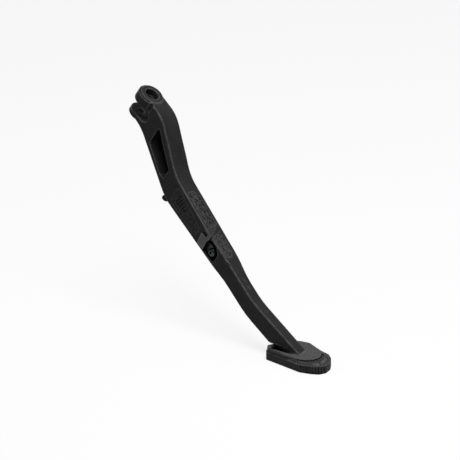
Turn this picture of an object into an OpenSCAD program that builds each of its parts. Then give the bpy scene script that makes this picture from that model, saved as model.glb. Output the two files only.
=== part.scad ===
// Motorcycle side stand: a forged and machined alloy leg with a forked pivot head,
// a serrated foot, grip inserts, a kick tab and a spring post.
// The stand is in its lowered attitude, with the sole level.
// The origin is on the pivot axis, in the middle of the outer ear's bore.

/* [Pivot fork] */
// Radius of the round boss on the outer ear
boss_r = 14.7; // [13.5:0.1:16]
// Width of the bevel round the boss
boss_bevel = 2.1; // [1:0.1:3]
// Thickness of the outer ear
outer_ear_t = 11.5; // [10:0.5:15]
// Radius of the inner ear
inner_ear_r = 12; // [11:0.2:13]
// Thickness of the inner ear
inner_ear_t = 5.8; // [5:0.2:8]
// Gap between the ears, which takes the frame bracket
fork_gap = 14; // [11:0.5:15]
// From the pivot axis to the end of the gap
slot_reach = 19; // [17:0.5:21]
// Radius of the relief groove between the boss and the near face
relief_r = 2.5; // [1.5:0.1:3.5]
// Height of the boss above the neck
boss_proud = 0.8; // [0.4:0.2:1.6]
// Radius of the bore that the pivot bolt runs in
bolt_r = 5.2; // [4:0.1:6]
// Radius of the counterbore for the bolt's head
cbore_r = 7.6; // [7:0.1:9]
// Depth of the counterbore
cbore_depth = 7; // [5:0.5:8]
// Radius of the tapped hole in the inner ear, at the crest of its thread
tap_r = 3.5; // [3.2:0.1:5]

/* [Leg length] */
// From the pivot axis to the bend under the neck
neck_x = 32; // [29:0.5:38]
// From the neck bend to the knee
drop_run = 55; // [50:1:70]
// From the knee to the kick tab
grip_run = 71; // [68:1:84]
// From the kick tab to the narrow shank
waist_run = 42; // [40:1:56]
// From the start of the shank to the ankle bend
shank_run = 52; // [44:1:70]
// From the ankle bend to the middle of the foot joint
ankle_run = 62; // [56:1:80]

/* [Leg slope] */
// Slope of the outer face from the neck to the knee
drop_slope = 31.3; // [26:0.5:36]
// Slope of the outer face along the grip
grip_slope = 8.6; // [6:0.2:11]
// Slope of the outer face below the kick tab
waist_slope = 4.5; // [2:0.5:7]
// Slope of the outer face along the shank
shank_slope = 6.4; // [4:0.2:9]
// Rise of the outer face from the ankle bend to the foot
ankle_rise = 4.8; // [2:0.2:7]

/* [Leg section] */
// Width across the drop
leg_w = 23.2; // [22:0.2:25]
// From the middle of the pivot to the near face
near_side_w = 10.4; // [9.6:0.2:11.2]
// Depth at the knee
knee_depth = 29.6; // [28:0.2:33]
// Depth at the kick tab
tab_depth = 22; // [21.4:0.2:24]
// Depth at the start of the shank
kink_depth = 18.9; // [18.3:0.2:21]
// Step of the back face at the end of the grip
grip_step = 1.6; // [0:0.2:2]
// Depth at the ankle bend
ankle_depth = 18.6; // [17:0.2:21]
// Depth at the foot
end_depth = 19.7; // [18:0.2:22]
// How far the far side steps in at the waist of the grip
waist_step = 1.1; // [0:0.1:2.4]
// How far the far side steps in along the shank
shank_step = 8.2; // [6:0.2:9]
// Width at the foot
end_w = 14.6; // [12.6:0.2:16]
// Radius of the leg's long edges
edge_r = 1.3; // [0.6:0.1:2]

/* [Attitude] */
// Turn about the leg's cross axis that brings the sole level
lean = 31; // [26:1:36]
// Turn about the leg's long axis that brings the sole level
cant = -10; // [-14:1:0]

/* [Window pocket] */
// Depth of the weight-saving pocket in the near face
window_depth = 15; // [8:0.5:16]
// Rim left between the pocket and the outer face
window_rim = 9; // [7:0.5:11]
// Rim left between the pocket and the back face
window_back_rim = 6.5; // [5:0.5:9]
// Where the pocket starts, past the neck bend
window_start = 4.5; // [3:0.5:8]
// Where the pocket ends, short of the knee
window_end = 11.5; // [9:0.5:16]

/* [Inserts] */
// Depth of the recess in the near face
side_recess = 1.8; // [1.2:0.1:2.4]
// Depth of the recesses in the outer face
face_recess = 1.2; // [0.8:0.1:1.6]
// Gap all round an insert in its recess
insert_gap = 0.15; // [0.1:0.05:0.3]
// How far an insert lies below the face
insert_drop = 0.3; // [0.1:0.1:0.5]
// Number of louvre slots across the side insert
louvres = 5; // [3:1:6]
// Distance from one louvre slot to the next
louvre_pitch = 3.6; // [3:0.1:4]
// Width of a louvre slot
louvre_w = 1.4; // [1:0.1:1.8]

/* [Kick tab] */
// Length of the tab along the leg
tab_len = 11.5; // [10:0.5:13]
// How far the tab stands out of the near face
tab_proud = 1.6; // [1.2:0.1:2.4]
// How far the tab's pad stands out of the outer face
pad_proud = 1.8; // [1.4:0.1:2.6]
// Depth of the screw pocket beside the tab
pocket_depth = 6; // [5:0.5:7]
// Length of the screw pocket along the leg
pocket_len = 21.3; // [20:0.1:24]
// Thickness of the tab's foot in the screw pocket
tongue_t = 2.2; // [1.6:0.2:2.6]
// Radius of the tab screw's shank
tab_screw_r = 2.5; // [2:0.25:3]

/* [Spring post] */
// Radius of the spring post
post_r = 4; // [3.4:0.1:4.8]
// How far the post stands out of the back face
post_out = 11; // [10:0.5:15]

/* [Foot] */
// Length of the foot
foot_len = 77; // [72:1:90]
// Width of the foot
foot_w = 47.5; // [45:0.5:56]
// From the back of the heel to the middle of the leg
heel_back = 17.7; // [17:0.1:21]
// From the near side of the foot to the middle of the leg
near_side = 19.4; // [18:0.2:26]
// Thickness of the foot at the middle of the leg
foot_h = 13.3; // [12:0.1:16]
// Fall of the foot's top towards the toe
foot_fall = 2; // [0:0.5:3]
// Height of the serrated rim
rim_t = 8.4; // [7:0.2:9.4]
// Radius of the foot's corners
foot_corner_r = 4; // [2:0.5:5]
// From the near heel corner, along the rim, to the first tooth
tooth_start = 50.4; // [44:0.2:56]
// Number of teeth round the toe
teeth = 20; // [14:1:24]
// Distance between the teeth
tooth_pitch = 3.4; // [2.8:0.1:3.6]
// Depth of a tooth gap
tooth_depth = 1.4; // [0.8:0.1:1.8]
// Height of the bevel on the leg's lower edge
ankle_bevel = 2; // [1:0.25:3]
// Depth of the channel beside the leg
channel_depth = 6; // [4:0.5:8]
// Width of the channel beside the leg
channel_w = 8.5; // [6:0.5:9]
// Rim left between the channel and the heel
channel_rim = 4.2; // [3:0.2:6]
// From the middle of the leg to the channel's front end
channel_reach = 21.7; // [18:0.5:26]
// Radius of a foot screw's shank
foot_screw_r = 2.5; // [2:0.25:3]
// Distance between the foot screws
foot_screw_gap = 14; // [12:0.5:16]
// Depth to which a foot screw is threaded into the leg
foot_screw_bite = 7; // [5:0.5:8]

/* [Hidden] */
$fn = 64;
eps = 0.01;
big = 400;

// Levels along the pivot axis, in the leg's own frame: x runs down the leg and z along the pivot
bore_len = outer_ear_t - cbore_depth;
face_z = cbore_depth + bore_len / 2;
gap_top = face_z - outer_ear_t;
gap_low = gap_top - fork_gap;
back_z = gap_low - inner_ear_t;
neck_top = face_z - boss_proud;

// Stations down the leg
heel_run = 16;
heel_x = neck_x - heel_run;
knee_x = neck_x + drop_run;
tab_x = knee_x + grip_run;
kink_x = tab_x + waist_run;
ankle_x = kink_x + shank_run;
end_x = ankle_x + ankle_run;
over_run = 30;
over_x = end_x + over_run;

// Heights of the outer face at those stations
knee_z = neck_top - drop_run * tan(drop_slope);
tab_z = knee_z - grip_run * tan(grip_slope);
kink_z = tab_z - waist_run * tan(waist_slope);
ankle_z = kink_z - shank_run * tan(shank_slope);
end_z = ankle_z + ankle_run * tan(ankle_rise);
over_z = end_z + over_run * tan(ankle_rise);

near_y = -near_side_w;
far_y = leg_w - near_side_w;
outer_line = [[-50, neck_top], [neck_x, neck_top], [knee_x, knee_z], [tab_x, tab_z],
    [kink_x, kink_z], [ankle_x, ankle_z], [end_x, end_z], [over_x, over_z]];
back_line = [[-50, back_z], [heel_x, back_z], [knee_x + 3, knee_z - knee_depth],
    [tab_x, tab_z - tab_depth], [kink_x - 5, kink_z - kink_depth - grip_step],
    [kink_x + 1, kink_z - kink_depth], [ankle_x, ankle_z - ankle_depth], [end_x, end_z - end_depth],
    [over_x, over_z - end_depth]];
far_line = [[-50, far_y + 0.5], [neck_x, far_y + 0.5], [neck_x + 14, far_y], [knee_x - 12, far_y],
    [knee_x + 4, far_y - waist_step], [knee_x + 20, far_y - waist_step], [tab_x - 8, far_y - 0.6],
    [tab_x + 2, far_y - 0.8], [kink_x - 6, far_y - 3.2], [kink_x + 20, far_y - shank_step],
    [ankle_x + 12, far_y - shank_step], [end_x, near_y + end_w], [over_x, near_y + end_w]];

// A line's height at x, with its bends rounded over the radius r
function soft(x, line, r) =
    (lookup(x - r, line) + lookup(x - r / 2, line) + lookup(x, line)
    + lookup(x + r / 2, line) + lookup(x + r, line)) / 5;
function outer_at(x) = soft(x, outer_line, 9);
function back_at(x) = soft(x, back_line, 9);
function far_at(x) = soft(x, far_line, 8);

// The leg's section at x: a rectangle whose corners are turned over the edge radius
function corner(cy, cz, from) =
    [for (a = [0, 45, 90]) [cy + edge_r * cos(from + a), cz + edge_r * sin(from + a)]];
function section(x) =
    let (top = outer_at(x) - edge_r, low = back_at(x) + edge_r,
        near = near_y + edge_r, far = far_at(x) - edge_r)
    concat(corner(far, top, 0), corner(near, top, 90), corner(near, low, 180), corner(far, low, 270));
fine_x = knee_x + 22;
long_steps = 26;
stations = concat([for (x = [2 : 4 : fine_x]) x],
    [for (i = [1 : long_steps]) fine_x + (over_x - fine_x) * i / long_steps]);

// Turns from the leg's frame to the level frame, as points
function canted(p) = [p.x, p.y * cos(cant) - p.z * sin(cant), p.y * sin(cant) + p.z * cos(cant)];
function leaned(p) = [p.x * cos(lean) + p.z * sin(lean), p.y, p.z * cos(lean) - p.x * sin(lean)];
function level(p) = leaned(canted(p));

// The foot joint: the middle of the leg's section at the top of the foot
joint = level([end_x, near_y + end_w / 2, end_z - end_depth / 2]);
sole_z = joint.z - foot_h;

// The near face's recess, window and screw pocket, and the outer face's panels
recess_a = knee_x + 9;
recess_b = tab_x - 10.2;
panel_start = 21;
panel_a = knee_x + panel_start;
panel_b = tab_x - 6;
panel_gap = 3.2;
pocket_a = tab_x + 5.2;
screw_x = pocket_a + 11.2;
screw_z = outer_at(screw_x) - 13.6;
pocket_y = near_y + pocket_depth;
pocket_rim = 2;
pocket_edge = [[pocket_a, back_at(pocket_a) + pocket_rim], [pocket_a - 1.8, outer_at(pocket_a) - 6.6]];
post_x = knee_x - 2;
post_stem_r = post_r - 1;
post_stem = 9;
post_face = 1;
hole_fit = 0.1;

// The kick tab's seat on the outer face
seat_x = pocket_a - tab_len / 2;
seat_low = 0.8;
seat_slope = (grip_slope + waist_slope) / 2;
tab_head_r = 5.1;
tab_head_h = 2.8;
tab_screw_len = 8;

module to_level() { rotate([cant, lean, 0]) children(); }

// A flat shape drawn in x and z, made solid from the level y inwards by depth
module into_side(y, depth) {
    translate([0, y + depth, 0]) rotate([90, 0, 0]) linear_extrude(depth) children();
}

// A place on the outer face, sloped with it
module on_outer(x, slope) {
    translate([x, 0, outer_at(x)]) rotate([0, slope, 0]) children();
}

module loft() {
    n = len(section(0));
    rings = len(stations);
    points = [for (x = stations) for (p = section(x)) [x, p.x, p.y]];
    sides = [for (r = [0 : rings - 2]) for (i = [0 : n - 1])
        let (a = r * n + i, b = r * n + (i + 1) % n)
        for (t = [[a, b + n, b], [a, a + n, b + n]]) t];
    ends = [[for (i = [0 : n - 1]) i], [for (i = [n - 1 : -1 : 0]) (rings - 1) * n + i]];
    polyhedron(points = points, faces = concat(sides, ends));
}

module ears() {
    translate([0, 0, gap_top]) cylinder(r = boss_r, h = outer_ear_t - boss_bevel);
    translate([0, 0, face_z - boss_bevel]) cylinder(r1 = boss_r, r2 = boss_r - boss_bevel, h = boss_bevel);
    translate([0, 0, back_z + 1]) cylinder(r = inner_ear_r, h = inner_ear_t - 1);
    translate([0, 0, back_z]) cylinder(r1 = inner_ear_r - 1, r2 = inner_ear_r, h = 1);
}

// The gap for the frame bracket, cut right across, with a round end that is bevelled at the near face
module fork_slot() {
    r = fork_gap / 2;
    bevel = 0.8;
    place = [slot_reach - r, gap_low + r];
    into_side(-big / 2, big) {
        translate([-big, gap_low]) square([big + place.x, fork_gap]);
        translate(place) circle(r);
    }
    into_side(near_y - 1, 1 + eps) translate(place) circle(r + bevel);
    translate([place.x, near_y + bevel, place.y]) rotate([90, 0, 0])
        cylinder(r1 = r, r2 = r + bevel, h = bevel);
}

// The round groove that parts the boss from the leg's near face
module boss_relief() {
    y = near_y - 0.2;
    translate([sqrt(pow(boss_r + relief_r, 2) - y * y), y, gap_top - 1])
        cylinder(r = relief_r, h = outer_ear_t + 2);
}

module pivot_holes() {
    mouth = 0.6;
    pin_r = 1.2;
    pin_depth = 2.5;
    translate([0, 0, gap_top - 1]) cylinder(r = bolt_r, h = outer_ear_t);
    translate([0, 0, face_z - cbore_depth]) cylinder(r = cbore_r, h = cbore_depth + 1);
    translate([0, 0, face_z - mouth]) cylinder(r1 = cbore_r, r2 = cbore_r + mouth + eps, h = mouth + eps);
    translate([0, 0, back_z - 1]) cylinder(r = tap_r, h = inner_ear_t + 2);
    translate([0, 0, gap_low - mouth]) cylinder(r1 = tap_r, r2 = tap_r + mouth + eps, h = mouth + eps);
    translate([1.3, -7.2, gap_low - pin_depth]) cylinder(r = pin_r, h = pin_depth + 1);
}

function window_outline() =
    let (a = neck_x + window_start, b = knee_x - window_end, t = window_rim, u = window_back_rim)
    [[a, outer_at(a) - t], [a, back_at(a) + u], [a + 2, back_at(a + 2) + u - 1],
    [b - 6, back_at(b - 6) + u - 1.5], [b, back_at(b) + u + 2.5], [b, outer_at(b) - t],
    [b - 10, outer_at(b - 10) - t], [a + 12, outer_at(a + 12) - t], [a + 3, outer_at(a + 3) - t + 1]];

function recess_outline(g) =
    let (rail = 5, a = recess_a, b = recess_b)
    [[a + 3 + g, back_at(a + 3) + rail + g], [a + g, outer_at(a) - 9], [a + 4 + g, outer_at(a + 4) - 4.2 - g],
    [b - g, outer_at(b) - 7.6 - g], [b - 2.2 - g, back_at(b) + rail + g]];

function pocket_outline() =
    let (a = pocket_a, b = pocket_a + pocket_len)
    [pocket_edge[0], pocket_edge[1], [a + 5.6, outer_at(a + 6) - 1.6],
    [a + 13, outer_at(a + 13) - 1.6], [a + 15, outer_at(a + 15) - 2.4], [b - 1, outer_at(b) - 6],
    [b, outer_at(b) - 9], [b, back_at(b) + pocket_rim]];

// Panel outlines on the outer face, as x from the panel's start and y
function upper_panel(g) =
    let (end = panel_b - panel_a - g)
    [[g, -5 + g], [g, 1], [3.5, 6.4 - g], [end - 2, 8 - g], [end, 5.8], [end, -3], [end - 3, -6.4 + g],
        [1.5, -6.4 + g]];
function lower_panel(g) =
    [[g, -8 + g], [-6.4 + g, 6.2 - g], [19, 5 - g], [27.5 - g, -0.3], [27 - g, -5.5], [24, -8 + g]];

module panel_cut(x, slope, depth) {
    on_outer(x, slope) translate([0, 0, -depth]) linear_extrude(depth + 3) children();
}

module leg_blank() {
    difference() {
        union() {
            loft();
            ears();
        }
        fork_slot();
        boss_relief();
        pivot_holes();
        into_side(near_y - 1, window_depth + 1) polygon(window_outline());
        into_side(near_y - 1, side_recess + 1) polygon(recess_outline(0));
        into_side(near_y - 6, pocket_depth + 6) polygon(pocket_outline());
        panel_cut(panel_a, grip_slope, face_recess) polygon(upper_panel(0));
        panel_cut(pocket_a + panel_gap, waist_slope, face_recess) polygon(lower_panel(0));
        tab_seat(0);
        translate([screw_x, pocket_y - 1, screw_z]) rotate([-90, 0, 0])
            cylinder(r = tab_screw_r + hole_fit, h = tab_screw_len + 1);
        translate([post_x, 0, back_at(post_x) - post_face])
            cylinder(r = post_stem_r + hole_fit, h = post_stem + 1);
        translate([post_x, 0, back_at(post_x) - post_face - 4]) cylinder(r = post_r + 0.4, h = 4);
        edge_slot();
        shank_groove();
    }
}

// A short slot beside the long edge and a fine groove on the shank's outer face
module edge_slot() {
    x = kink_x - 3;
    w = 1.2;
    into_side(near_y - 1, 2) translate([x, outer_at(x) - 1.6]) rotate(5)
        translate([0, -w / 2]) square([8.5, w]);
}
module shank_groove() {
    start = kink_x + 21;
    len = 14;
    y = -3.3;
    dimple = ankle_x + 16;
    on_outer(start, shank_slope) translate([0, y, -0.6]) cube([len, 1, 3]);
    translate([dimple, y + 0.8, outer_at(dimple) - 1]) cylinder(r = 0.8, h = 4);
}

module leg() {
    color([0.07, 0.07, 0.075]) difference() {
        to_level() leg_blank();
        translate([joint.x, 0, joint.z]) rotate([0, foot_fall, 0]) below_joint();
        lower_bevel();
        for (x = foot_screw_places) translate([x, joint.y, joint.z - 1])
            cylinder(r = foot_screw_r + hole_fit, h = foot_screw_bite + 1.4);
    }
}
module below_joint() {
    translate([-big / 2, joint.y - big / 2, -big]) cube(big);
}

// The bevel along the leg's lower edge, above the channel in the foot
module lower_bevel() {
    near = level([end_x, near_y, end_z - end_depth / 2]);
    ahead = level([over_x, near_y, over_z - end_depth / 2]);
    side = ankle_bevel * sqrt(2);
    translate([joint.x, near.y, joint.z]) rotate([0, foot_fall, atan2(ahead.y - near.y, ahead.x - near.x)])
        rotate([45, 0, 0]) cube([2 * foot_len, side, side], center = true);
}

module spring_post() {
    seat = back_at(post_x);
    head = 1.6;
    groove = 4.4;
    color([0.1, 0.1, 0.1]) to_level() translate([post_x, 0, seat - post_out]) {
        cylinder(r1 = post_r - 0.5, r2 = post_r, h = 0.5);
        translate([0, 0, 0.5]) cylinder(r = post_r, h = head);
        translate([0, 0, 0.5 + head]) cylinder(r = post_r - 1.2, h = groove);
        translate([0, 0, 0.5 + head + groove])
            cylinder(r = post_r, h = post_out - post_face - head - groove - 0.5);
        translate([0, 0, post_out - 2]) cylinder(r = post_stem_r, h = post_stem);
    }
}

module side_insert() {
    color([0.05, 0.05, 0.055]) to_level() difference() {
        into_side(near_y + insert_drop, side_recess - insert_drop) polygon(recess_outline(insert_gap));
        for (i = [0 : louvres - 1])
            into_side(near_y - 1, 1 + side_recess - 0.6)
                translate([recess_a + 8 + i * louvre_pitch, back_at(recess_a) + 8.5])
                    rotate(-8) square([louvre_w, 11.5 - 1.7 * i]);
    }
}

module upper_insert() {
    color([0.16, 0.16, 0.165]) to_level() on_outer(panel_a, grip_slope)
        translate([0, 0, -face_recess]) linear_extrude(face_recess - insert_drop)
            polygon(upper_panel(insert_gap));
}

module lower_insert() {
    color([0.16, 0.16, 0.165]) to_level() on_outer(pocket_a + panel_gap, waist_slope)
        translate([0, 0, -face_recess]) linear_extrude(face_recess - insert_drop)
            polygon(lower_panel(insert_gap));
}

// The kick tab's seat on the outer face, and what lies on it: the pad, raised by rise above the face
module tab_seat(rise) {
    on_outer(seat_x, seat_slope) translate([0, 0, -seat_low])
        linear_extrude(rise > 0 ? seat_low + rise : 5) polygon(rise > 0 ? pad_outline : seat_outline);
}
pad_outline = let (h = tab_len / 2, n = near_y - tab_proud)
    [[-h + 3.5, n], [h + 2, n], [h + 1.7, near_y + 0.5], [h - 2.5, -3.9], [-h + 5.3, 0.8], [-h + 2.4, 1.5],
    [-h + 1.3, -4.4], [-h + 2.5, -7.6]];
seat_outline = let (h = tab_len / 2)
    [[-h + 3, -leg_w], [h + 2.7, -leg_w], [h + 2.3, near_y + 0.7], [h - 2.1, -3.6], [-h + 5.5, 1.3],
    [-h + 2, 2.1], [-h + 0.8, -4.4], [-h + 2.1, -7.6]];

// The kick tab wraps the long edge: a pad on each face, a web down into the pocket
// and a tongue under the screw
module kick_tab() {
    color([0.3, 0.3, 0.31]) to_level() difference() {
        union() {
            into_side(near_y - tab_proud, tab_proud) polygon(side_pad);
            tab_seat(pad_proud);
            into_side(near_y - tab_proud, tab_proud + pocket_depth) polygon(web);
            into_side(pocket_y - tongue_t, tongue_t) tongue();
        }
        translate([screw_x, pocket_y + 1, screw_z]) rotate([90, 0, 0])
            cylinder(r = tab_screw_r + 0.2, h = tongue_t + 2);
    }
}
tab_edge = [pocket_edge[0] + [0.1, 0.1], pocket_edge[1] + [0.3, -1.4]];
side_pad =
    let (a = pocket_a - tab_len, b = pocket_a + 0.1 + tongue_t, top = outer_at(a + 6), low = back_at(a))
    [[a + 1, top - 5.9], [a + 3.2, low + 3.7], [a + 8.3, low + 2], [b, low + 1.8],
    [tab_edge[1].x + tongue_t, tab_edge[1].y], [b, top - 4.6], [b, top + 1],
    [b - 4, top + 1], [b - 4.4, top - 5.5], [a + 3.6, top - 5.5]];
web = let (t = [tongue_t, 0]) [tab_edge[0], tab_edge[0] + t, tab_edge[1] + t, tab_edge[1]];
module tongue() {
    r = tab_head_r + 0.1;
    difference() {
        union() {
            translate([screw_x, screw_z]) circle(r);
            translate([pocket_a + 0.2, screw_z - r]) square([screw_x - pocket_a, 2 * r]);
        }
        translate([screw_x, screw_z]) circle(tab_screw_r + 0.2);
    }
}

module tab_screw() {
    color([0.45, 0.46, 0.45])
    to_level() translate([screw_x, pocket_y - tongue_t, screw_z]) rotate([90, 0, 0]) {
        difference() {
            button_head(tab_head_r, tab_head_h);
            translate([0, 0, tab_head_h - 1.6]) cylinder(r = 1.75, h = 3, $fn = 6);
        }
        translate([0, 0, -tab_screw_len]) cylinder(r = tab_screw_r, h = tab_screw_len + eps);
    }
}

// A domed head: an arc turned about the screw's axis
module button_head(r, h) {
    flat = r * 0.45;
    rotate_extrude() polygon(concat([[0, 0], [r, 0], [r, 0.5]],
        [for (a = [15 : 15 : 90]) [flat + (r - flat) * cos(a), 0.5 + (h - 0.5) * sin(a)]], [[0, h]]));
}

// A corner of an outline, turned over the radius r between its neighbours
function unit(v) = v / norm(v);
function turned(p, i, r) =
    let (n = len(p), b = p[i], u = unit(p[(i + n - 1) % n] - b), v = unit(p[(i + 1) % n] - b),
        half = acos(u * v) / 2, cut = min(r / tan(half), 0.42 * norm(p[(i + n - 1) % n] - b),
        0.42 * norm(p[(i + 1) % n] - b)))
    [for (t = [0 : 0.25 : 1]) b + u * cut * (1 - t) * (1 - t) + v * cut * t * t];
function rounded(p, r) = [for (i = [0 : len(p) - 1]) for (q = turned(p, i, r)) q];

// The foot's corners in the level frame, from the near heel round the toe to the far heel: x, y, the
// width of the ledge on top of the rim, and the run of the slope between the ledge and the plateau
foot_corners =
    let (heel = joint.x - heel_back, toe = heel + foot_len, near = joint.y - near_side, far = near + foot_w)
    [[heel + 5.8, near, 0.9, 0.5], [heel + 33, near + 1.6, 0.9, 0.6], [toe - 20, near + 2.7, 0.9, 4.2],
    [toe - 8, near + 8.9, 0.9, 7.1], [toe - 1.2, near + 14.6, 1.2, 8.6], [toe, near + 23, 1.8, 11],
    [toe - 5, far - 14.6, 2.2, 9.6], [toe - 13.8, far - 6.2, 2.2, 7.8], [toe - 23.8, far - 1, 1.6, 5.4],
    [toe - 36, far, 1.4, 4.1], [heel + 23, far, 1.2, 1.4], [heel + 11.2, far - 3.4, 1.2, 3.2],
    [heel + 2.8, far - 12.4, 1.2, 2.4], [heel, near + 4.7, 0.9, 0.6]];
function xy(p) = [p.x, p.y];
function inward(p, i, d) =
    let (n = len(p), u = unit(xy(p[(i + 1) % n] - p[i])), v = unit(xy(p[i] - p[(i + n - 1) % n])),
        m = unit(u + v))
    xy(p[i]) + d * [-m.y, m.x];
foot_rim = [for (p = foot_corners) xy(p)];
foot_ledge = [for (i = [0 : len(foot_corners) - 1]) inward(foot_corners, i, foot_corners[i][2])];
foot_top = [for (i = [0 : len(foot_corners) - 1])
    inward(foot_corners, i, foot_corners[i][2] + foot_corners[i][3])];

// The length of an outline up to its corner i, and the place and heading at the distance d along it
function run_to(p, i) = i == 0 ? 0 : run_to(p, i - 1) + norm(p[i] - p[i - 1]);
function leg_of(p, d, i = 1) = i >= len(p) - 1 || run_to(p, i) >= d ? i : leg_of(p, d, i + 1);
function along(p, d) = let (i = leg_of(p, d), v = unit(p[i] - p[i - 1]))
    [p[i - 1] + v * (d - run_to(p, i - 1)), atan2(v.y, v.x)];

module rim() {
    path = rounded(foot_rim, foot_corner_r);
    difference() {
        linear_extrude(rim_t) polygon(path);
        for (i = [0 : teeth - 1]) {
            place = along(path, tooth_start + i * tooth_pitch);
            translate([place[0].x, place[0].y, 1.2]) rotate([0, 0, place[1]])
                linear_extrude(rim_t) polygon([[-1, -1], [0, tooth_depth], [1, -1]]);
        }
    }
}

// The foot's height above the sole at x, on its sloping top
function top_at(x) = foot_h - (x - joint.x) * tan(foot_fall);

// A solid between a level outline and one on the sloping top, with the same number of corners
module lofted(low, high, z_low) {
    n = len(low);
    points = concat([for (p = low) [p.x, p.y, z_low]], [for (p = high) [p.x, p.y, top_at(p.x)]]);
    sides = [for (i = [0 : n - 1]) let (j = (i + 1) % n) for (t = [[i, j + n, j], [i, i + n, j + n]]) t];
    polyhedron(points, concat(sides, [[for (i = [0 : n - 1]) i], [for (i = [n - 1 : -1 : 0]) n + i]]));
}

module foot_body() {
    difference() {
        union() {
            translate([0, 0, rim_t - 1]) linear_extrude(1) polygon(rounded(foot_ledge, foot_corner_r));
            lofted(rounded(foot_ledge, foot_corner_r), rounded(foot_top, foot_corner_r), rim_t);
        }
        channel();
    }
}

module channel() {
    near = joint.y - near_side;
    leg_near = level([end_x, near_y, end_z - end_depth / 2]).y;
    back = joint.x - heel_back + channel_rim;
    front = joint.x + channel_reach;
    translate([0, 0, foot_h - channel_depth]) linear_extrude(channel_depth + 3)
        polygon([[back + 5.8, near + 2], [back + 9.8, near + 2.6], [front - 8, near + 7.8],
            [front, leg_near + 0.5], [back, leg_near + 3.5], [back, near + channel_w]]);
}

module foot() {
    color([0.12, 0.12, 0.125]) translate([0, 0, sole_z]) difference() {
        union() {
            rim();
            foot_body();
        }
        for (x = foot_screw_places) translate([x, joint.y, 0]) {
            translate([0, 0, -1]) cylinder(r = foot_screw_r + 0.3, h = foot_h + 2);
            translate([0, 0, -eps]) cylinder(r1 = foot_screw_r + 3.2, r2 = foot_screw_r + 0.3, h = 3);
        }
    }
}
foot_screw_places = [joint.x + 1 - foot_screw_gap, joint.x + 1];

// A countersunk screw that holds the foot, driven up from the sole
module foot_screw(x) {
    head = 2.6;
    color([0.45, 0.46, 0.45]) translate([x, joint.y, sole_z]) difference() {
        union() {
            translate([0, 0, 0.3]) cylinder(r1 = foot_screw_r + 2.7, r2 = foot_screw_r, h = head);
            translate([0, 0, 0.3 + head])
                cylinder(r = foot_screw_r, h = foot_h + foot_screw_bite - head - 0.3);
        }
        translate([0, 0, -1]) cylinder(r = 1.6, h = 3, $fn = 6);
    }
}
module foot_screw_heel() { foot_screw(foot_screw_places[0]); }
module foot_screw_toe() { foot_screw(foot_screw_places[1]); }

leg();
spring_post();
side_insert();
upper_insert();
lower_insert();
kick_tab();
tab_screw();
foot();
foot_screw_heel();
foot_screw_toe();
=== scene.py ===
import math

import bpy
from mathutils import Matrix, Vector


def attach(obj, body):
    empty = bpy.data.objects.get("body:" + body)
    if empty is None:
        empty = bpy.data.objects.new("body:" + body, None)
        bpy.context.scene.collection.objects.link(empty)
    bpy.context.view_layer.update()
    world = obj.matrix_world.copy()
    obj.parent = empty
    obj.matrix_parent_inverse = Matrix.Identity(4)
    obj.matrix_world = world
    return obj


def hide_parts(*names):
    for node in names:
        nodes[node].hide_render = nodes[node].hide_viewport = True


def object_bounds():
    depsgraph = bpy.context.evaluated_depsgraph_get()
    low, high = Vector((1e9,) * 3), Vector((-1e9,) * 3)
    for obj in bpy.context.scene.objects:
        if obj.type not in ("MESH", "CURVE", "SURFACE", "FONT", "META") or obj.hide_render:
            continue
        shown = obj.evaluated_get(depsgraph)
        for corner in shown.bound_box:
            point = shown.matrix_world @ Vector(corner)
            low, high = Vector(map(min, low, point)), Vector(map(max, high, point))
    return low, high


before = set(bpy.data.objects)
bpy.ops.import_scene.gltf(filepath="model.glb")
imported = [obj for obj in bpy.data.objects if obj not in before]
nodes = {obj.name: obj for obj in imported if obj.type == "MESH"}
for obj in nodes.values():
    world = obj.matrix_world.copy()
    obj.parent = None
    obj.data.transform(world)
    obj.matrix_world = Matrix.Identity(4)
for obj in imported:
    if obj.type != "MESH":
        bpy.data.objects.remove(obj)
cad_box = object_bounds()
scene = bpy.context.scene

# Lengths in this script are millimetres times MM, so that Blender gets metres
MM = 0.001
low, high = (Vector(corner) for corner in cad_box)
middle = (low + high) / 2
sole = low.z


# Node helpers

def new_material(name):
    mat = bpy.data.materials.new(name)
    mat.use_nodes = True
    tree = mat.node_tree
    tree.nodes.clear()
    out = add(tree, "ShaderNodeOutputMaterial")
    bsdf = add(tree, "ShaderNodeBsdfPrincipled")
    tree.links.new(bsdf.outputs[0], out.inputs["Surface"])
    return mat, tree, bsdf


def add(tree, kind, **values):
    """A node whose inputs or settings with these names have these values."""
    node = tree.nodes.new(kind)
    for key, value in values.items():
        if key in node.inputs:
            node.inputs[key].default_value = value
        else:
            setattr(node, key, value)
    return node


def joined(tree, kind, operation, first, second):
    """The result of a two-input maths node of this kind."""
    node = add(tree, kind, operation=operation)
    tree.links.new(first, node.inputs[0])
    tree.links.new(second, node.inputs[1])
    return node


def multiply(tree, first, second):
    return joined(tree, "ShaderNodeMath", "MULTIPLY", first, second).outputs[0]


def either(tree, first, second):
    return joined(tree, "ShaderNodeMath", "MAXIMUM", first, second).outputs[0]


def coords(tree, scale=(1.0, 1.0, 1.0)):
    place = add(tree, "ShaderNodeTexCoord")
    mapping = add(tree, "ShaderNodeMapping", Scale=scale)
    tree.links.new(place.outputs["Object"], mapping.inputs["Vector"])
    return mapping.outputs["Vector"]


def noise(tree, vector, scale, detail, rough=0.55):
    node = add(tree, "ShaderNodeTexNoise", Scale=scale, Detail=detail, Roughness=rough)
    tree.links.new(vector, node.inputs["Vector"])
    return node.outputs["Fac"]


def ramp(tree, fac, start, dark, end, light):
    """The dark colour below start, the light one above end, and a blend between them."""
    node = add(tree, "ShaderNodeValToRGB")
    for element, place, colour in zip(node.color_ramp.elements, (start, end), (dark, light)):
        element.position = place
        element.color = (*colour, 1.0)
    tree.links.new(fac, node.inputs["Fac"])
    return node.outputs["Color"]


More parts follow.
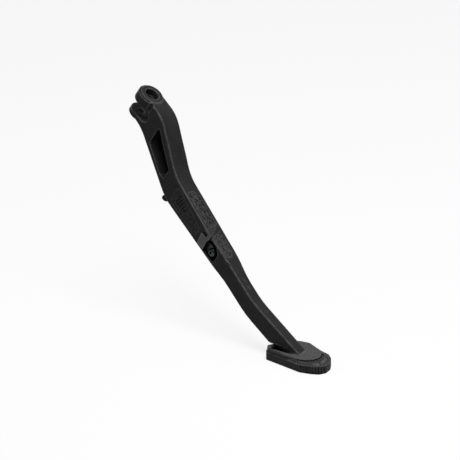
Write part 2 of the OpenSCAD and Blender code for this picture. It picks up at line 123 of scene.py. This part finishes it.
def span(tree, value, start, end, of=(0.0, 1.0)):
    """A value that runs over `of`, stretched to run from start to end."""
    node = add(tree, "ShaderNodeMapRange")
    for key, limit in zip(("From Min", "From Max", "To Min", "To Max"), (*of, start, end)):
        node.inputs[key].default_value = limit
    tree.links.new(value, node.inputs["Value"])
    return node.outputs["Result"]


def mixed(tree, factor, first, tone, blend_type="MIX"):
    """The first colour, turned to a fixed tone by the factor."""
    node = add(tree, "ShaderNodeMix", data_type="RGBA", blend_type=blend_type)
    colour_a, colour_b = node.inputs[6], node.inputs[7]
    tree.links.new(factor, node.inputs["Factor"])
    tree.links.new(first, colour_a)
    colour_b.default_value = (*tone, 1.0)
    return node.outputs[2]


def bump(tree, bsdf, height, strength, depth, before=None):
    """Fine relief of a depth in millimetres, laid over the relief before it."""
    node = add(tree, "ShaderNodeBump", Strength=strength, Distance=depth * MM)
    tree.links.new(height, node.inputs["Height"])
    if before is not None:
        tree.links.new(before, node.inputs["Normal"])
    tree.links.new(node.outputs["Normal"], bsdf.inputs["Normal"])
    return node.outputs["Normal"]


def edge_wear_and_highlight(tree, radius, face_turn=0.998, edge_turn=0.97):
    """1 along edges and 0 on faces, from how far the bevelled normal leaves the face's own: where
    edges are painted paler, partly as wear and partly as painted highlight.
    """
    soft = add(tree, "ShaderNodeBevel", samples=6, Radius=radius * MM)
    face = add(tree, "ShaderNodeNewGeometry")
    turn = joined(tree, "ShaderNodeVectorMath", "DOT_PRODUCT",
                  soft.outputs["Normal"], face.outputs["True Normal"])
    return span(tree, turn.outputs["Value"], 0.0, 1.0, of=(face_turn, edge_turn))


def open_unshaded(tree, reach, closed=0.4, clear=0.9):
    """1 on open faces and 0 in grooves and corners, from ambient occlusion: where painted shade
    darkens and where nothing rubs.
    """
    near = add(tree, "ShaderNodeAmbientOcclusion", samples=8, Distance=reach * MM)
    return span(tree, near.outputs["AO"], 0.0, 1.0, of=(closed, clear))


# Finishes

EDGE_RADIUS = 1.5
GROOVE_REACH = 4.0
ALLOY_GLOSS = 0.07
SKIN_GLOSS = 0.12


def paler_lit_top(tree, place, colour, height, tone):
    """The colour, turned to a paler speckled tone above a height: painted top light on the foot's
    plateau.
    """
    split = add(tree, "ShaderNodeSeparateXYZ")
    tree.links.new(place, split.inputs[0])
    level = span(tree, split.outputs["Z"], 0.0, 1.0, of=(height - 0.4 * MM, height + 0.2 * MM))
    speck = noise(tree, place, scale=800.0, detail=3.0, rough=0.7)
    lit_top_mask = multiply(tree, level, span(tree, speck, 0.2, 1.0, of=(0.35, 0.65)))
    return mixed(tree, lit_top_mask, colour, tone)


def anodised(name, dark, light, rough, wear_and_highlight, metallic=0.0, painted_groove_shade=0.4, top=None):
    """Blasted and anodised alloy: fine grain, slow changes of tone, edges painted paler as wear and
    as painted highlight, and painted shade in its grooves and corners. Where top is given as a
    height and a tone, the metal above is painted paler as painted top light."""
    mat, tree, bsdf = new_material(name)
    place = coords(tree)
    cloud = noise(tree, place, scale=90.0, detail=8.0, rough=0.62)
    tone = ramp(tree, cloud, 0.3, dark, 0.7, light)
    patches = span(tree, noise(tree, place, scale=220.0, detail=3.0), 0.35, 1.0, of=(0.35, 0.6))
    # Edges painted paler in patches, partly as wear and partly as painted highlight.
    patchy_wear_and_highlight = multiply(tree, edge_wear_and_highlight(tree, EDGE_RADIUS), patches)
    clean_and_unshaded = open_unshaded(tree, GROOVE_REACH)
    shown = mixed(tree, multiply(tree, patchy_wear_and_highlight, clean_and_unshaded), tone, (wear_and_highlight,) * 3)
    # Grooves and corners are darkened from ambient occlusion: painted shade.
    shown = mixed(tree, span(tree, clean_and_unshaded, 1.0, 0.0), shown, (painted_groove_shade,) * 3, "MULTIPLY")
    if top:
        # The foot's plateau is painted paler above a height: painted top light.
        shown = paler_lit_top(tree, place, shown, *top)
    tree.links.new(shown, bsdf.inputs["Base Color"])
    bsdf.inputs["Metallic"].default_value = metallic
    bsdf.inputs["Specular IOR Level"].default_value = ALLOY_GLOSS
    smear = noise(tree, coords(tree, (1.0, 5.0, 5.0)), scale=60.0, detail=3.0)
    tree.links.new(span(tree, smear, rough - 0.05, rough + 0.07, of=(0.3, 0.7)),
                   bsdf.inputs["Roughness"])
    grain = noise(tree, place, scale=2600.0, detail=2.0, rough=0.7)
    bump(tree, bsdf, grain, strength=0.18, depth=0.12)
    return mat


def chopped_fibre(name, dark, light, rough):
    """Pressed chopped fibre: chips at all angles under a clear skin, each with its own tone,
    gloss and height, and fine fibres along them."""
    mat, tree, bsdf = new_material(name)
    place = coords(tree)
    lift = add(tree, "ShaderNodeVectorMath", operation="SCALE", Scale=1.2 * MM)
    tree.links.new(noise(tree, place, scale=420.0, detail=2.0), lift.inputs[0])
    shift = joined(tree, "ShaderNodeVectorMath", "ADD", place, lift.outputs[0])
    chips = add(tree, "ShaderNodeTexVoronoi", distance="CHEBYCHEV", Scale=680.0)
    tree.links.new(shift.outputs[0], chips.inputs["Vector"])
    split = add(tree, "ShaderNodeSeparateColor")
    tree.links.new(chips.outputs["Color"], split.inputs[0])
    tone, gloss, height = split.outputs
    tree.links.new(ramp(tree, tone, 0.2, dark, 0.75, light), bsdf.inputs["Base Color"])
    tree.links.new(span(tree, gloss, rough - 0.12, rough + 0.15), bsdf.inputs["Roughness"])
    bsdf.inputs["Specular IOR Level"].default_value = SKIN_GLOSS
    fibres = noise(tree, coords(tree, (1.0, 9.0, 9.0)), scale=900.0, detail=2.0)
    first = bump(tree, bsdf, height, strength=0.5, depth=0.2)
    bump(tree, bsdf, fibres, strength=0.15, depth=0.1, before=first)
    return mat


def steel(name, colour, rough, metallic=1.0):
    """Turned steel with slow stains and fine tool marks."""
    mat, tree, bsdf = new_material(name)
    stain = noise(tree, coords(tree), scale=160.0, detail=3.0)
    turning = noise(tree, coords(tree, (3.0, 3.0, 3.0)), scale=700.0, detail=2.0)
    stained = tuple(0.6 * c for c in colour)
    tree.links.new(ramp(tree, stain, 0.3, stained, 0.7, colour), bsdf.inputs["Base Color"])
    bsdf.inputs["Metallic"].default_value = metallic
    tree.links.new(span(tree, turning, rough - 0.04, rough + 0.06, of=(0.3, 0.7)),
                   bsdf.inputs["Roughness"])
    bump(tree, bsdf, turning, strength=0.08, depth=0.08)
    return mat


# In each alloy below, the edge tone paints edges paler, partly as wear and partly as painted
# highlight; the groove tone is painted shade in grooves and corners; the foot's top tone is painted
# top light on its plateau.
leg_alloy = anodised(
    "leg_alloy", dark=(0.021, 0.021, 0.0213), light=(0.031, 0.031, 0.0316), rough=0.42, wear_and_highlight=0.145)
foot_alloy = anodised(
    "foot_alloy", dark=(0.022, 0.022, 0.0225), light=(0.046, 0.046, 0.047), rough=0.44, wear_and_highlight=0.14,
    painted_groove_shade=0.25, top=(sole + 10.8 * MM, (0.115, 0.115, 0.116)))
tab_alloy = anodised(
    "tab_alloy", dark=(0.066, 0.066, 0.067), light=(0.088, 0.088, 0.089), rough=0.42, wear_and_highlight=0.16,
    metallic=1.0)
side_fibre = chopped_fibre(
    "side_composite", dark=(0.006, 0.006, 0.0063), light=(0.034, 0.034, 0.035), rough=0.42)
grip_fibre = chopped_fibre(
    "grip_composite", dark=(0.006, 0.006, 0.0063), light=(0.062, 0.062, 0.064), rough=0.38)
screw_steel = steel("screw_steel", (0.055, 0.065, 0.062), rough=0.24)
post_steel = steel("post_steel", (0.02, 0.02, 0.02), rough=0.35, metallic=0.6)


# The foot as it is shown: the CAD foot with a low ledge cut round its plateau at the toe, a groove
# along the step, and a short slit that runs out from it. Heights are above the sole.

PLATEAU_R = 15.4
LEDGE_HEIGHT = 10.4
LEDGE_TURN = (-80, 64)
PAST_TOE_R = 60.0
ABOVE_FOOT = 20.0
GROOVE_FLOOR = 9.2
GROOVE_TOP = 10.9
GROOVE_TURN = (-66, 54)
GROOVE_INSIDE = 0.3
GROOVE_OUTSIDE = 0.9
SLIT_FLOOR = 8.2
SLIT_WIDTH = 1.3


def on_foot(back, across):
    """A point, in metres, this far back from the toe's tip and across from the near side."""
    return Vector((high.x - back * MM, low.y + across * MM))


plateau = on_foot(31.18, 22.0592)
slit_start = on_foot(12.98, 18.7592)
slit_end = on_foot(3.98, 19.9592)


def arc(radius, start, end, steps=40):
    """Points on a circle round the plateau's middle, between two angles in degrees."""
    turns = [math.radians(start + (end - start) * i / steps) for i in range(steps + 1)]
    return [plateau + Vector((math.cos(t), math.sin(t))) * (radius * MM) for t in turns]


def band(inner, outer, turn):
    """The outline between two arcs round the plateau's middle."""
    start, end = turn
    return arc(outer, start, end) + arc(inner, end, start)


def strip(start, end, width):
    """The outline of a straight groove."""
    side = (end - start).normalized().orthogonal() * (width * MM / 2)
    return [start - side, end - side, end + side, start + side]


def prism(outline, bottom, top):
    """A closed solid over an outline, between two heights above the sole."""
    n = len(outline)
    points = [(*p, sole + h * MM) for h in (bottom, top) for p in outline]
    sides = [(i, (i + 1) % n, n + (i + 1) % n, n + i) for i in range(n)]
    mesh = bpy.data.meshes.new("cutter")
    mesh.from_pydata(points, [], [tuple(range(n))[::-1], tuple(range(n, 2 * n)), *sides])
    obj = bpy.data.objects.new("cutter", mesh)
    scene.collection.objects.link(obj)
    return obj


def foot_top():
    """The shown foot, which stands for the CAD foot."""
    cutters = [
        prism(band(PLATEAU_R, PAST_TOE_R, LEDGE_TURN), LEDGE_HEIGHT, ABOVE_FOOT),
        prism(band(PLATEAU_R - GROOVE_INSIDE, PLATEAU_R + GROOVE_OUTSIDE, GROOVE_TURN),
              GROOVE_FLOOR, GROOVE_TOP),
        prism(strip(slit_start, slit_end, SLIT_WIDTH), SLIT_FLOOR, ABOVE_FOOT)]
    piece = nodes["foot"].copy()
    piece.data = nodes["foot"].data.copy()
    piece.name = "foot_top"
    scene.collection.objects.link(piece)
    for cutter in cutters:
        cut = piece.modifiers.new("cut", "BOOLEAN")
        cut.operation = "DIFFERENCE"
        cut.solver = "EXACT"
        cut.object = cutter
    shaped = piece.evaluated_get(bpy.context.evaluated_depsgraph_get())
    mesh = bpy.data.meshes.new_from_object(shaped)
    piece.modifiers.clear()
    piece.data = mesh
    for cutter in cutters:
        bpy.data.objects.remove(cutter)
    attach(piece, "root")
    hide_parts("foot")
    return piece


# Each piece gets its finish, and normals that keep flat faces flat

BEVEL_FROM = 38.0


def dress(obj, mat, smooth=24.0, bevel=None):
    """Give a piece its material, round faces up to an angle, and a fine bevel where asked."""
    obj.data.materials.clear()
    obj.data.materials.append(mat)
    obj.data.polygons.foreach_set("use_smooth", [True] * len(obj.data.polygons))
    if bevel:
        edge = obj.modifiers.new("edge", "BEVEL")
        edge.width = bevel * MM
        edge.segments = 2
        edge.limit_method = "ANGLE"
        edge.angle_limit = math.radians(BEVEL_FROM)
    split = obj.modifiers.new("split", "EDGE_SPLIT")
    split.split_angle = math.radians(smooth)
    split.use_edge_sharp = False
    even = obj.modifiers.new("even", "WEIGHTED_NORMAL")
    even.weight = 100


dress(nodes["leg"], leg_alloy)
dress(foot_top(), foot_alloy)
dress(nodes["kick_tab"], tab_alloy, bevel=0.3)
dress(nodes["side_insert"], side_fibre, bevel=0.15)
for grip in ("upper_insert", "lower_insert"):
    dress(nodes[grip], grip_fibre, bevel=0.15)
for screw in ("tab_screw", "foot_screw_heel", "foot_screw_toe"):
    dress(nodes[screw], screw_steel, smooth=40.0)
dress(nodes["spring_post"], post_steel, smooth=40.0)


# Floor, light and camera

FLOOR_SIZE = 8.0
FLOOR_TONE = 0.2
WORLD_STRENGTH = 0.2


def floor_material():
    """A plain floor that takes shadows, and is white where it is seen, mirrored or seen through."""
    mat = bpy.data.materials.new("floor")
    mat.use_nodes = True
    tree = mat.node_tree
    tree.nodes.clear()
    out = add(tree, "ShaderNodeOutputMaterial")
    diffuse = add(tree, "ShaderNodeBsdfDiffuse", Color=(FLOOR_TONE, FLOOR_TONE, FLOOR_TONE, 1.0))
    glow = add(tree, "ShaderNodeEmission", Strength=1.0 - FLOOR_TONE)
    both = add(tree, "ShaderNodeAddShader")
    tree.links.new(diffuse.outputs[0], both.inputs[0])
    tree.links.new(glow.outputs[0], both.inputs[1])
    path = add(tree, "ShaderNodeLightPath")
    sharp = either(tree, path.outputs["Is Glossy Ray"], path.outputs["Is Transmission Ray"])
    mix = add(tree, "ShaderNodeMixShader")
    tree.links.new(either(tree, path.outputs["Is Camera Ray"], sharp), mix.inputs[0])
    tree.links.new(diffuse.outputs[0], mix.inputs[1])
    tree.links.new(both.outputs[0], mix.inputs[2])
    tree.links.new(mix.outputs[0], out.inputs["Surface"])
    return mat


bpy.ops.mesh.primitive_plane_add(size=FLOOR_SIZE, location=(middle.x, middle.y, sole))
floor = bpy.context.object
floor.name = "floor"
floor.data.materials.append(floor_material())

world = bpy.data.worlds.new("studio")
scene.world = world
world.use_nodes = True
world_tree = world.node_tree
world_tree.nodes.clear()
sky = add(world_tree, "ShaderNodeBackground", Color=(1.0, 1.0, 1.0, 1.0), Strength=WORLD_STRENGTH)
world_out = add(world_tree, "ShaderNodeOutputWorld")
world_tree.links.new(sky.outputs[0], world_out.inputs["Surface"])


def direction(azimuth, elevation):
    """The way from the part to a lamp or the camera, for angles in degrees."""
    az, el = math.radians(azimuth), math.radians(elevation)
    return Vector((math.sin(az) * math.cos(el), -math.cos(az) * math.cos(el), math.sin(el)))


def softbox(name, azimuth, elevation, distance, size, power):
    """A square lamp that faces the part's middle. Distance and size are in metres."""
    way = direction(azimuth, elevation)
    data = bpy.data.lights.new(name, "AREA")
    data.shape = "SQUARE"
    data.size = size
    data.energy = power
    obj = bpy.data.objects.new(name, data)
    obj.location = middle + way * distance
    obj.rotation_euler = way.to_track_quat("Z", "Y").to_euler()
    scene.collection.objects.link(obj)


softbox("top", azimuth=85.0, elevation=74.0, distance=1.6, size=1.2, power=24.0)
softbox("behind", azimuth=200.0, elevation=50.0, distance=1.8, size=1.4, power=3.0)

# The photograph's view, with the part's origin at ORIGIN_AT in a square picture
PICTURE = 460
PIXELS_PER_MM = 0.95
ORIGIN_AT = (148.3, 99.95)
VIEW_AZIMUTH = 50.45
VIEW_ELEVATION = 21.0
CAMERA_DISTANCE = 2.0

pixel = MM / PIXELS_PER_MM
turn = math.radians(VIEW_AZIMUTH)
right = Vector((math.cos(turn), math.sin(turn), 0.0))
back = direction(VIEW_AZIMUTH, VIEW_ELEVATION)
up = back.cross(right)
across, down = (PICTURE / 2 - at for at in ORIGIN_AT)
spot = right * (across * pixel) - up * (down * pixel) + back * CAMERA_DISTANCE

camera_data = bpy.data.cameras.new("camera")
camera_data.type = "ORTHO"
camera_data.ortho_scale = PICTURE * pixel
camera_data.clip_end = 20.0
camera = bpy.data.objects.new("camera", camera_data)
camera.matrix_world = Matrix.Translation(spot) @ Matrix((right, up, back)).transposed().to_4x4()
scene.collection.objects.link(camera)
scene.camera = camera

scene.view_settings.view_transform = "Standard"
